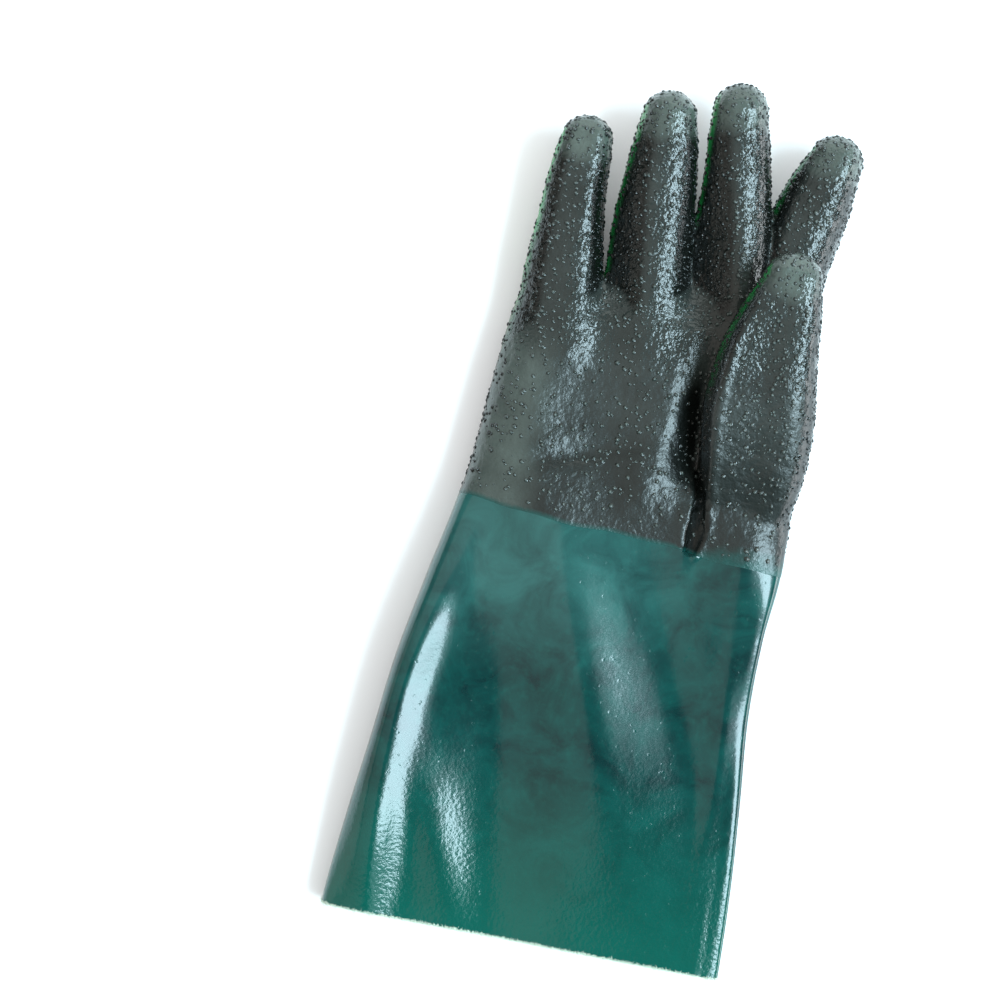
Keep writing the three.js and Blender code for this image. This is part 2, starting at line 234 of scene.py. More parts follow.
def slitLift(x, y):
    # The drop has a steep left side, and a floor that rises from there to a thin lip on the right.
    # Distance outside the drop: to the nearest piece of its middle line, less the half width there.
    distance = np.full(np.broadcast(x, y).shape, 99.0)
    across = np.zeros_like(distance)
    for start, end in zip(slitRows[:-1], slitRows[1:]):
        run = np.hypot(*(end - start)[:2])
        tx, ty = (end - start)[:2] / run
        down = (x - start[0]) * tx + (y - start[1]) * ty
        aside = (y - start[1]) * tx - (x - start[0]) * ty
        share = np.clip(down / run, 0, 1)
        half = start[2] + (end[2] - start[2]) * share
        away = np.hypot(aside, down - share * run) - half
        across = np.where(away < distance, aside / half, across)
        distance = np.minimum(away, distance)
    fall = 1 - slit["floorRise"] * between(across, -1, 1)
    bulge = np.exp(-(((distance - slit["lipPlace"]) / slit["lipReach"]) ** 2))
    lip = slit["lip"] * bulge * between(across, *slit["lipAcross"])
    return lip - slit["depth"] * fall * eased(between(-distance, 0, slit["wall"]))


def evenAngles(count):
    # Angles at equal steps along the outline of a typical section
    wide, deep, square = section["typical"]
    fine = np.linspace(0, 2 * np.pi, 4001)
    c, s = np.cos(fine), np.sin(fine)
    reach = (c**square + s**square) ** (1 / square)
    length = np.hypot(np.diff(wide * c / reach), np.diff(deep * s / reach))
    place = np.concatenate([[0], np.cumsum(length)])
    return np.interp(np.arange(count) / count * place[-1], place, fine)


def bodySurface(along, angle):
    # x = centre + wide cos / r and z = middle + (deep + lift) sin / r, r = (|cos|^n + |sin|^n)^(1/n)
    centre, wide, middle, deep, under, slant, leftSquare, rightSquare = bodyAt(along)
    c, s = np.cos(angle), np.sin(angle)
    square = np.where(c > 0, rightSquare, leftSquare)
    reach = (np.abs(c) ** square + np.abs(s) ** square) ** (1 / square)
    x = centre + wide * c / reach
    rise = s / reach
    z = middle + (deep + (rise > 0) * foldLift(x, along)) * rise
    z = -smoothMin(-z, -under, section["softEdge"])
    # The flat right side sags inwards halfway up by sag * exp(-(rise / reach)^2), not at the dip line
    sag = section["sag"] * (0.75 + 0.25 * np.sin(along / 19)) * eased(between(along, *section["sagAlong"]))
    x -= sag * np.exp(-((rise / section["sagReach"]) ** 2)) * between(c / reach, 0.9, 0.98)
    return np.stack([x, along - slant * x, z], axis=-1)


def ringNormals(grid):
    # cross(around, along) of central differences on a grid that closes around axis 1
    around = np.roll(grid, -1, axis=1) - np.roll(grid, 1, axis=1)
    forward = np.gradient(grid, axis=0)
    return unit(np.cross(forward, around))


def valueNoise(points, size, seed):
    # Smooth lattice noise between -1 and 1 with cells of the given size
    cell = points / size
    base = np.floor(cell).astype(np.int64)
    t = eased(cell - base)
    total = np.zeros(len(points))
    for corner in np.ndindex(2, 2, 2):
        at = base + corner
        mix = at[:, 0] * 73856093 ^ at[:, 1] * 19349663 ^ at[:, 2] * 83492791 ^ (seed * 2654435761)
        mix = (mix ^ (mix >> 13)) * 1274126177
        value = ((mix ^ (mix >> 16)) & 0xFFFF) / 32767.5 - 1
        weight = np.prod(np.where(corner, t, 1 - t), axis=1)
        total += weight * value
    return total


def addObject(name, data):
    item = bpy.data.objects.new(name, data)
    bpy.context.scene.collection.objects.link(item)
    return item


def fillMesh(name, points, faces, material):
    # faces is an array of quads or triangles; points are glove millimetres
    mesh = bpy.data.meshes.new(name)
    count, sides = faces.shape
    mesh.vertices.add(len(points))
    mesh.vertices.foreach_set("co", placeInRow(points).astype(np.float32).ravel())
    mesh.loops.add(count * sides)
    mesh.loops.foreach_set("vertex_index", faces.astype(np.int32).ravel())
    mesh.polygons.add(count)
    mesh.polygons.foreach_set("loop_start", np.arange(count, dtype=np.int32) * sides)
    mesh.polygons.foreach_set("use_smooth", np.full(count, True))
    mesh.materials.append(material)
    mesh.update(calc_edges=True)
    mesh.validate()
    return addObject(name, mesh)


def storeShares(piece, name, values):
    # One number on each point, which a material reads by this name
    attribute = piece.data.attributes.new(name, "FLOAT", "POINT")
    attribute.data.foreach_set("value", values.astype(np.float32).ravel())


def tubeFaces(rows, columns):
    # Quads of a grid that closes on itself both ways
    i, k = np.meshgrid(np.arange(rows), np.arange(columns), indexing="ij")
    nextI, nextK = (i + 1) % rows, (k + 1) % columns
    quads = [i * columns + k, nextI * columns + k, nextI * columns + nextK, i * columns + nextK]
    return np.stack(quads, axis=-1).reshape(-1, 4)


def hexColour(text):
    # sRGB hex to linear: ((c + 0.055) / 1.055)^2.4 above 0.04045, c / 12.92 up to there
    c = np.array([int(text[k:k + 2], 16) for k in (0, 2, 4)]) / 255
    linear = np.where(c > 0.04045, ((c + 0.055) / 1.055) ** 2.4, c / 12.92)
    return (*linear.tolist(), 1.0)


def addNode(tree, kind, inputs=None, **settings):
    # A node with its settings; inputs holds values, or sockets to link from
    node = tree.nodes.new(kind)
    for name, value in settings.items():
        setattr(node, name, value)
    for key, value in (inputs or {}).items():
        if isinstance(value, bpy.types.NodeSocket):
            tree.links.new(value, node.inputs[key])
        else:
            node.inputs[key].default_value = value
    return node


def newMaterial(name):
    material = bpy.data.materials.new(name)
    material.use_nodes = True
    material.node_tree.nodes.clear()
    return material, material.node_tree


# Dipped soft PVC over jersey: glossy, with the knit and small pits showing through the coat
greenValues = {
    "deep": "072525",
    "body": "083e3a",
    "light": "10574d",
    "hem": "054c41",  # the coat is thinner and greener near the hem
    "haze": "41706c",  # dust near the wrist
    "noise": {  # metres across a cell, detail, roughness, distortion
        "patch": (0.024, 4, 0.6, 0.8),  # where the coat is thicker
        "mottle": (0.004, 3, 0.6, 0.0),
        "ripple": (0.009, 3, 0.55, 0.0),
        "grain": (0.0018, 2, 0.5, 0.0),
    },
    "pit": 0.003,  # metres between the sparse pits that burst bubbles leave
    "stops": (0.34, 0.68),  # of the patches, where the colour is deep and where it is the body's
    "runs": {  # what each follows, from where to where, and its share at both ends
        "fleck": ("mottle", 0.5, 0.8, 0.0, 0.2),
        "hem": ("along", -0.115, -0.195, 0.0, 0.8),
        "wrist": ("along", -0.085, -0.035, 0.0, 0.55),
        "left": ("across", 0.05, 0.015, 0.2, 1.0),  # the right side has little haze
        "dent": ("pit", 0.1, 0.28, 0.0, 1.0),
        "smooth": ("mottle", 0.62, 0.56, 0.0, 1.0),  # parts without pits
        "wrinkle": ("along", -0.1, -0.18, 1.0, 7.0),  # how strong the knit's grain is
    },
    "bumps": {"ripple": (0.08, 0.0008), "pit": (0.15, 0.0003), "grain": (0.09, 0.0003)},
    "roughness": 0.14,
    "ior": 1.53,
}


def greenPvc():
    material, tree = newMaterial("dipped green PVC")
    place = addNode(tree, "ShaderNodeTexCoord").outputs["Object"]
    axes = addNode(tree, "ShaderNodeSeparateXYZ", {"Vector": place}).outputs
    pits = addNode(tree, "ShaderNodeTexVoronoi", {
        "Vector": place, "Scale": 1 / greenValues["pit"], "Randomness": 1.0})
    field = {"across": axes["X"], "along": axes["Y"], "pit": pits.outputs["Distance"]}
    for name, (cell, detail, rough, warp) in greenValues["noise"].items():
        field[name] = addNode(tree, "ShaderNodeTexNoise", {
            "Vector": place, "Scale": 1 / cell, "Detail": detail, "Roughness": rough,
            "Distortion": warp}).outputs["Fac"]
    share = {}
    for name, (source, start, end, first, last) in greenValues["runs"].items():
        share[name] = addNode(tree, "ShaderNodeMapRange", {
            "Value": field[source], "From Min": start, "From Max": end,
            "To Min": first, "To Max": last}).outputs["Result"]
    # Thick and thin patches, then flecks, the greener hem, and haze near the wrist on the left
    ramp = addNode(tree, "ShaderNodeValToRGB", {"Fac": field["patch"]})
    for stop, position, tone in zip(ramp.color_ramp.elements, greenValues["stops"], ("deep", "body")):
        stop.position = position
        stop.color = hexColour(greenValues[tone])
    haze = addNode(tree, "ShaderNodeMath", {0: share["wrist"], 1: field["patch"]}, operation="MULTIPLY")
    haze = addNode(tree, "ShaderNodeMath", {
        0: haze.outputs["Value"], 1: share["left"]}, operation="MULTIPLY").outputs["Value"]
    colour = ramp.outputs["Color"]
    for part, tone in ((share["fleck"], "light"), (share["hem"], "hem"), (haze, "haze")):
        colour = addNode(tree, "ShaderNodeMix", {
            "Factor": part, "A": colour, "B": hexColour(greenValues[tone])},
            data_type="RGBA").outputs["Result"]
    # Slow ripples, then sparse pits, then the grain of the knit, which is strongest at the hem
    dents = addNode(tree, "ShaderNodeMath", {0: share["dent"], 1: share["smooth"]}, operation="MAXIMUM")
    knit = addNode(tree, "ShaderNodeMath", {0: field["grain"], 1: share["wrinkle"]}, operation="MULTIPLY")
    heights = {"ripple": field["ripple"], "pit": dents.outputs["Value"], "grain": knit.outputs["Value"]}
    below = {}
    for name, (strength, depth) in greenValues["bumps"].items():
        bump = addNode(tree, "ShaderNodeBump", {
            "Height": heights[name], "Strength": strength, "Distance": depth, **below})
        below = {"Normal": bump.outputs["Normal"]}
    shader = addNode(tree, "ShaderNodeBsdfPrincipled", {
        "Base Color": colour, "Roughness": greenValues["roughness"], "IOR": greenValues["ior"], **below})
    addNode(tree, "ShaderNodeOutputMaterial", {"Surface": shader.outputs["BSDF"]})
    return material


# Dipped dark PVC with grit: near black and glossy, with dust and a painted sheen where it faces up, wear
# with a painted highlight at the tips, a painted green glow on the left flanks of the fingers, and the green
# coat at the dip line
gritValues = {
    "coat": "0a0e0c",
    # dust, with a painted sheen of the light overhead
    "dustySheen": "2c3230",
    "wornAndLit": "707e76",  # rubbed tips, with a painted highlight where they face up
    # painted green glow of light through the coat, on the left flanks
    "rimGlow": "1f8a44",
    "under": greenValues["body"],  # the green coat, which shows through at the dip line
    "lump": 0.0021,  # metres between fine lumps
    "lumpHeight": (0.42, 0.82),  # share of the bump, on the palm and on the digits
    "lumpBump": (0.7, 0.0012),  # strength and depth in metres
    "patch": 0.02,
    "patchShare": (0.55, 1.0),  # of the dust and sheen and of the wear and highlight, in the patches' gaps and in the patches
    "roughness": 0.33,
    "digitRoughness": 0.2,
    "ior": 1.53,
}


def darkPvc():
    material, tree = newMaterial("dipped dark PVC")
    place = addNode(tree, "ShaderNodeTexCoord").outputs["Object"]
    patches = addNode(tree, "ShaderNodeTexNoise", {
        "Vector": place, "Scale": 1 / gritValues["patch"], "Detail": 4, "Roughness": 0.6})
    patchMix = addNode(tree, "ShaderNodeMapRange", {
        "Value": patches.outputs["Fac"], "From Min": 0.3, "From Max": 0.7,
        "To Min": gritValues["patchShare"][0], "To Max": gritValues["patchShare"][1]})
    # Each layer over the last: its attribute, its colour, and whether it lies in patches
    colour = hexColour(gritValues["coat"])
    for attribute, tone, patchy in (
            ("dustAndSheen", "dustySheen", True), ("wearAndHighlight", "wornAndLit", True),
            ("paintedRimGlow", "rimGlow", False), ("dipFade", "under", False)):
        share = addNode(tree, "ShaderNodeAttribute", attribute_name=attribute).outputs["Fac"]
        if patchy:
            share = addNode(tree, "ShaderNodeMath", {
                0: patchMix.outputs["Result"], 1: share}, operation="MULTIPLY").outputs["Value"]
        colour = addNode(tree, "ShaderNodeMix", {
            "Factor": share, "A": colour, "B": hexColour(gritValues[tone])},
            data_type="RGBA").outputs["Result"]
    lumps = addNode(tree, "ShaderNodeTexNoise", {
        "Vector": place, "Scale": 1 / gritValues["lump"], "Detail": 2, "Roughness": 0.5})
    rough = addNode(tree, "ShaderNodeAttribute", attribute_name="grit")
    height = addNode(tree, "ShaderNodeMath", {
        0: lumps.outputs["Fac"], 1: rough.outputs["Fac"]}, operation="MULTIPLY")
    bump = addNode(tree, "ShaderNodeBump", {
        "Height": height.outputs["Value"], "Strength": gritValues["lumpBump"][0],
        "Distance": gritValues["lumpBump"][1]})
    gloss = addNode(tree, "ShaderNodeMapRange", {
        "Value": rough.outputs["Fac"],
        "From Min": gritValues["lumpHeight"][0], "From Max": gritValues["lumpHeight"][1],
        "To Min": gritValues["roughness"], "To Max": gritValues["digitRoughness"]})
    shader = addNode(tree, "ShaderNodeBsdfPrincipled", {
        "Base Color": colour, "Roughness": gloss.outputs["Result"],
        "IOR": gritValues["ior"], "Normal": bump.outputs["Normal"]})
    addNode(tree, "ShaderNodeOutputMaterial", {"Surface": shader.outputs["BSDF"]})
    return material


# Bleached cotton jersey: matt, with rows of loops about a millimetre apart
cottonValues = {
    "bleached": "cfdccb",
    "loop": 0.0009,  # metres between loops
    "loopBump": (0.6, 0.0005),
    "roughness": 0.95,
}


def cottonJersey():
    material, tree = newMaterial("cotton jersey")
    place = addNode(tree, "ShaderNodeTexCoord").outputs["Object"]
    loops = addNode(tree, "ShaderNodeTexVoronoi", {"Vector": place, "Scale": 1 / cottonValues["loop"]})
    bump = addNode(tree, "ShaderNodeBump", {
        "Height": loops.outputs["Distance"], "Strength": cottonValues["loopBump"][0],
        "Distance": cottonValues["loopBump"][1]})
    shader = addNode(tree, "ShaderNodeBsdfPrincipled", {
        "Base Color": hexColour(cottonValues["bleached"]), "Roughness": cottonValues["roughness"],
        "Normal": bump.outputs["Normal"]})
    addNode(tree, "ShaderNodeOutputMaterial", {"Surface": shader.outputs["BSDF"]})
    return material


greenCoat = greenPvc()
darkCoat = darkPvc()
cotton = cottonJersey()
print("materials made")

sleeveValues = {
    "wall": 1.3,
    "tuck": 3.0,  # how far the green coat runs on under the dark one
    "tuckDepth": 0.4,
    "tuckRun": (-0.3, 0.9),  # mm past the dip line, over which it sinks that far
    "slitFacing": 0.3,  # share of the normal upwards, above which the slit is cut
    "sharpFrom": 40,  # degrees
    "rows": 120,
    "rowSpread": 1.5,  # above 1 the rows crowd towards the dip line
    "columns": 380,
}
liningValues = {
    "proud": 0.9,  # how far it stands out of the hem
    "outerInset": 1.6,
    "innerInset": 2.7,
}


def dipLine(x):
    # The dark dip ends at y = along + slant x + the sum of height * sin(x / length + start)
    line = section["dipAlong"] + section["dipSlant"] * x
    for height, length, start in section["dipWaves"]:
        line = line + height * np.sin(x / length + start)
    return line


def tubePiece(name, start, end, outerInset, innerInset, material):
    # A wall between two insets of the body's surface, closed at both ends
    rows, columns = sleeveValues["rows"], sleeveValues["columns"]
    along = end - (end - start) * np.linspace(1, 0, rows)[:, None] ** sleeveValues["rowSpread"]
    angle = evenAngles(columns)[None, :]
    skin = bodySurface(along + 0 * angle, angle + 0 * along)
    normal = ringNormals(skin)
    upper = normal[..., 2] > sleeveValues["slitFacing"]
    skin[..., 2] += np.where(upper, slitLift(skin[..., 0], skin[..., 1]), 0)
    past = between(skin[..., 1] - dipLine(skin[..., 0]), *sleeveValues["tuckRun"])
    sunk = sleeveValues["tuckDepth"] * eased(past)[..., None]
    outer = skin - normal * (outerInset + sunk)
    inner = skin - normal * (innerInset + sunk)
    outer[..., 2] = np.maximum(outer[..., 2], outerInset)
    grid = np.concatenate([outer, inner[::-1]])
    piece = fillMesh(name, grid.reshape(-1, 3), tubeFaces(2 * rows, columns), material)
    piece.data.set_sharp_from_angle(angle=math.radians(sleeveValues["sharpFrom"]))
    return piece


sleeve = tubePiece("dipped_sleeve", 0, section["dipAlong"] + sleeveValues["tuck"], 0,
                   sleeveValues["wall"], greenCoat)
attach(sleeve, "root")
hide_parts("gauntlet_sleeve")
lining = tubePiece("jersey_lining", -liningValues["proud"], section["dipAlong"],
                   liningValues["outerInset"], liningValues["innerInset"], cotton)
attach(lining, "root")
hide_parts("cotton_lining")
print("sleeve and lining made")

handValues = {
    "wall": 2.7,
    "join": 2.0,  # how widely a digit runs into its neighbour
    "fingerFillet": 7.0,  # and into the palm
    "flankEdge": 3.0,  # how softly its pressed flank turns into the rest
    "slitAbove": 14,  # the slit is only in what is higher than this
    "margin": 14,  # round a digit, beyond which its distance isn't worked out
    "sharpFrom": 60,  # degrees
    "step": 1.5,  # mesh size over the hand
    "low": (-72, 184, -3),
    "high": (94, 412, 76),
}


def bodyField(p):
    # (|u|^n + |v|^n)^(1/n) - 1 of the section at the point, over its slope, is near to a distance
    x, y, z = p[:, 0], p[:, 1], p[:, 2]
    along = y + bodyAt(y)[5] * x
    along = y + bodyAt(along)[5] * x
    centre, wide, middle, deep, under, _, leftSquare, rightSquare = bodyAt(along)
    n = np.where(x > centre, rightSquare, leftSquare)
    tall = np.where(z > middle, deep + foldLift(x, along), deep)
    u = np.abs(x - centre) / wide + 1e-6
    v = np.abs(z - middle) / tall + 1e-6
    r = (u**n + v**n) ** (1 / n)
    slope = np.hypot((u / r) ** (n - 1) / wide, (v / r) ** (n - 1) / tall)
    d = (r - 1) / slope
    d = -smoothMin(-d, z - under, section["softEdge"])
    return -smoothMin(-d, section["knuckleAlong"] - along, section["closedEdge"])


def digitFrame(p, digit):
    # Place along the centre line, and the offset there: across, upwards and past the end
    rows = digit["rows"]
    last = len(rows) - 1
    fine = 8  # samples between two rows
    samples = splineRows(rows[:, :3], np.linspace(0, last, fine * last + 1))
    place = np.empty(len(p))
    for part in np.array_split(np.arange(len(p)), max(1, len(p) // 50000)):
        gap = ((p[part, None, :] - samples[None]) ** 2).sum(axis=2)
        place[part] = gap.argmin(axis=1) / fine
    span = 0.02
    for _ in range(4):
        centre = splineRows(rows, place)
        low, high = np.clip(place - span, 0, last), np.clip(place + span, 0, last)
        ahead = splineRows(rows[:, :3], high) - splineRows(rows[:, :3], low)
        length = np.linalg.norm(ahead, axis=1)
        tangent = ahead / length[:, None]
        offset = p - centre[:, :3]
        forward = (offset * tangent).sum(axis=1)
        place = np.clip(place + 0.8 * forward * (high - low) / length, 0, last)
    side = unit(np.cross(tangent, (0.0, 0.0, 1.0)))
    up = np.cross(side, tangent)
    c, s = math.cos(math.radians(digit["roll"])), math.sin(math.radians(digit["roll"]))
    side, up = side * c - up * s, up * c + side * s
    across = (offset * side).sum(axis=1)
    upward = (offset * up).sum(axis=1)
    return place, across, upward, forward, centre[:, 3], centre[:, 4]


def digitField(p, digit):
    # (|a|^n + |b|^n)^(1/n) of the section, joined with the end's distance, less 1, over its slope
    place, across, upward, forward, wide, deep = digitFrame(p, digit)
    past = np.where((place <= 0) | (place >= len(digit["rows"]) - 1), forward, 0)
    reach = (wide + deep) / 2
    n = digit["square"]
    a = np.abs(across) / wide + 1e-6
    b = np.abs(upward) / deep + 1e-6
    c = np.abs(past) / reach
    flat = (a**n + b**n) ** (1 / n)
    r = np.hypot(flat, c)
    slopeA = (a / flat) ** (n - 1) * flat / r / wide
    slopeB = (b / flat) ** (n - 1) * flat / r / deep
    d = (r - 1) / np.sqrt(slopeA**2 + slopeB**2 + (c / r / reach) ** 2)
    lean = math.radians(-digit["flankLean"] - digit["roll"])
    dual = n / (n - 1)
    support = ((wide * abs(math.sin(lean))) ** dual + (deep * abs(math.cos(lean))) ** dual) ** (1 / dual)
    share = np.interp(place, np.arange(len(digit["rows"])), digit["flankShare"])
    flank = across * math.sin(lean) + upward * math.cos(lean) - share * support
    return -smoothMin(-d, -flank, handValues["flankEdge"])


def handField(p):
    # The digits with narrow joins between them, run into the palm with a wider one
    p = p.copy()
    p[:, 2] -= np.where(p[:, 2] > handValues["slitAbove"], slitLift(p[:, 0], p[:, 1]), 0)
    field = bodyField(p)
    spread = np.full(len(p), 99.0)
    for name, digit in digits.items():
        rows = digit["rows"]
        reach = rows[:, 3].max() + handValues["margin"]
        low, high = rows[:, :3].min(axis=0) - reach, rows[:, :3].max(axis=0) + reach
        near = np.all((p > low) & (p < high), axis=1)
        if name == "thumb":
            field = smoothMin(field, spread, handValues["fingerFillet"])
            spread = field
        spread[near] = smoothMin(spread[near], digitField(p[near], digit), handValues["join"])
    return spread


def fieldSlope(field, p, h=0.05):
    # Central differences of the field along x, y and z
    steps = np.eye(3) * h
    return np.stack([field(p + s) - field(p - s) for s in steps], axis=1) / (2 * h)


def surfaceNet(field, low, high, step):
    # Surface nets: one vertex in each cell that the surface crosses, at the mean of its edge crossings
    axes = [np.arange(a, b, step) for a, b in zip(low, high)]
    lattice = np.stack(np.meshgrid(*axes, indexing="ij"), axis=-1)
    shape = lattice.shape[:3]
    value = field(lattice.reshape(-1, 3)).reshape(shape)
    inside = value < 0
    corners = np.array(list(np.ndindex(2, 2, 2)))
    cells = tuple(n - 1 for n in shape)
    held = np.lib.stride_tricks.sliding_window_view(inside, (2, 2, 2)).sum(axis=(3, 4, 5))
    active = np.argwhere((held > 0) & (held < 8))
    number = np.full(cells, -1, dtype=np.int64)
    number[tuple(active.T)] = np.arange(len(active))
    total = np.zeros((len(active), 3))
    crossings = np.zeros(len(active))
    for i, a in enumerate(corners):
        for b in corners[i + 1:]:
            if np.abs(a - b).sum() != 1:
                continue
            va = value[tuple((active + a).T)]
            vb = value[tuple((active + b).T)]
            cut = (va < 0) != (vb < 0)
            t = np.where(cut, va / np.where(cut, va - vb, 1), 0)
            total += np.where(cut, 1, 0)[:, None] * (a + t[:, None] * (b - a))
            crossings += cut
    points = np.array(low) + step * (active + total / crossings[:, None])
    quads = []
    for axis in range(3):
        j, k = (axis + 1) % 3, (axis + 2) % 3
        first = inside.take(np.arange(shape[axis] - 1), axis=axis)
        second = inside.take(np.arange(1, shape[axis]), axis=axis)
        edges = np.argwhere(first != second)
        aside = edges[:, [j, k]]
        edges = edges[((aside > 0) & (aside < (cells[j], cells[k]))).all(axis=1)]
        leaving = first[tuple(edges.T)]
        ring = np.empty((len(edges), 4), np.int64)
        for corner, (dj, dk) in enumerate(((-1, -1), (0, -1), (0, 0), (-1, 0))):
            cell = edges.copy()
            cell[:, [j, k]] += dj, dk
            ring[:, corner] = number[tuple(cell.T)]
        ring[~leaving] = ring[~leaving][:, ::-1]
        quads.append(ring)
    return points, np.concatenate(quads)


def faceEdges(faces):
    # The four directed edges of each quad
    return np.concatenate([faces[:, [k, (k + 1) % 4]] for k in range(4)])


def relax(points, faces, amount):
    # Each point moves part of the way to the mean of its neighbours
    ends = faceEdges(faces)
    total = np.zeros_like(points)
    count = np.zeros(len(points))
    for here, there in (ends.T, ends.T[::-1]):
        for axis in range(3):
            total[:, axis] += np.bincount(here, weights=points[there, axis], minlength=len(points))
        count += np.bincount(here, minlength=len(points))
    return points + amount * (total / count[:, None] - points)


def settleOnto(field, points, rounds):
    # Newton steps along the slope onto the surface where the field is zero
    for _ in range(rounds):
        slope = fieldSlope(field, points)
        length = np.maximum((slope**2).sum(axis=1), 0.2)
        move = -(field(points) / length)[:, None] * slope
        points = points + np.clip(move, -1.0, 1.0)
    return points


def warped(points, sign):
    # y moved by sign * (dip line - its mean), so that one plane of the lattice is the dip line
    moved = points.copy()
    moved[:, 1] += sign * (dipLine(points[:, 0]) - section["dipAlong"])
    return moved


def openSkin():
    # The outer face of the hand, cut off just past the dip line, and its open edge
    step = handValues["step"]
    low = np.array(handValues["low"], float)
    low[1] = section["dipAlong"] - 4 * step
    points, faces = surfaceNet(lambda p: handField(warped(p, 1)), low, handValues["high"], step)
    points = settleOnto(handField, warped(points, 1), 1)
    points = settleOnto(handField, relax(points, faces, 0.5), 2)
    above = points[:, 1] > dipLine(points[:, 0]) + 0.1 * step
    faces = faces[above[faces].all(axis=1)]
    used, faces = np.unique(faces.ravel(), return_inverse=True)
    points, faces = points[used], faces.reshape(-1, 4)
    return points, faces, openEdges(faces)


def openEdges(faces):
    # Directed edges that no neighbouring face runs the other way
    edges = faceEdges(faces)
    code = edges[:, 0] * (faces.max() + 1) + edges[:, 1]
    back = edges[:, 1] * (faces.max() + 1) + edges[:, 0]
    return edges[~np.isin(code, back)]


def drawToDipLine(points, rim):
    # y is set to the dip line, then x and z follow the field back onto its surface
    edge = points[rim]
    for _ in range(3):
        edge[:, 1] = dipLine(edge[:, 0])
        slope = fieldSlope(handField, edge)
        slope[:, 1] = 0
        edge -= (handField(edge) / (slope**2).sum(axis=1))[:, None] * slope
    points[rim] = edge


skinPoints, skinFaces, skinEdges = openSkin()
skinRim = np.unique(skinEdges)
drawToDipLine(skinPoints, skinRim)
skinNormal = unit(fieldSlope(handField, skinPoints, 0.3))
print("hand surface", len(skinPoints), "points")

thumbRelief = {
    "rim": (-0.72, 0.11, 2.0),  # the raised edge of its ball: place across, reach, height
    "dish": (-0.05, 0.42, -1.6),
    "rise": (0.4, 1.6),  # rows of the thumb where both start and where they are full
    "fall": (5.6, 4.2),  # rows where they end and up to where they are full
    "across": 1.2,  # half widths that they reach from the centre line
    "along": 200,  # they start this far from the hem
}


def thumbShape(p):
    # A ridge and a dish across the thumb's face, each height * exp(-((across - place) / reach)^2)
    place, across, upward, _, wide, _ = digitFrame(p, digits["thumb"])
    share = across / wide
    fade = between(place, *thumbRelief["rise"]) * between(place, *thumbRelief["fall"])
    on = (upward > 0) & (np.abs(share) < thumbRelief["across"]) & (p[:, 1] > thumbRelief["along"])
    lift = 0
    for at, reach, height in (thumbRelief["rim"], thumbRelief["dish"]):
        lift += height * np.exp(-(((share - at) / reach) ** 2))
    return lift * fade * on


# Places in mm, the rest in shares of 1
coatState = {
    "lumps": ((3.1, 1, 0.2), (1.7, 2, 0.12), (14, 3, 0.3), (7, 4, 0.15)),  # cell, seed, height in mm
    "lumpsStart": (0, 8),  # past the dip line
    "lap": 0.08,  # height of the dark coat over the green one
    "digitsAlong": (262, 280),  # from the hem, where the palm's coat turns into the digits'
    "leftSide": (-30, -45),  # across, where the palm's left side turns down
    "rimGlowAlong": (258, 328),  # the painted green glow on the left flanks grows towards the tips
    "rimGlowFacing": (0.76, 1.0),  # of the normal, to the left
    "rimGlowPatches": (9, 6, 0.5),  # cell, seed, swing
    "rimGlowShare": (0.45, 0.9),  # at least, and in the middle
    # Dust and painted sheen: lighter where the skin faces up, more on the palm's left side and where it
    # faces the tips or the hem
    "dustSheenFacing": (0.87, 0.96),  # of the normal, upwards, with what the next three add
    "dustSheenLeft": 0.6,  # on the palm's left side
    "dustSheenTips": 1.0,  # of the normal towards the tips, on the digits
    "dustSheenHem": 0.3,  # of the normal towards the hem, on the palm
    "dustSheenAlong": (222, 252),
    "dustSheenLow": 0.55,  # of the dust and painted sheen that the palm has before there
    "slitPaintedShade": (-0.6, 0.25),  # painted shade in the slit: below this height, this share of the dust and sheen is left
    # Wear and painted highlight: on the palm's left side and near each tip, where the skin faces up
    "wearHighlightLeft": 0.3,
    "wearHighlightTips": (17, 5),  # from the end of a digit's centre line
    "wearHighlightFacing": (-0.1, 0.3),  # of the normal, upwards
    "fadeAcross": (42, 56),
    "fade": (1.2, 9.2),  # of the dark coat above the dip line, before and after there
    "fadePatches": (2.5, 5, 0.3),
}


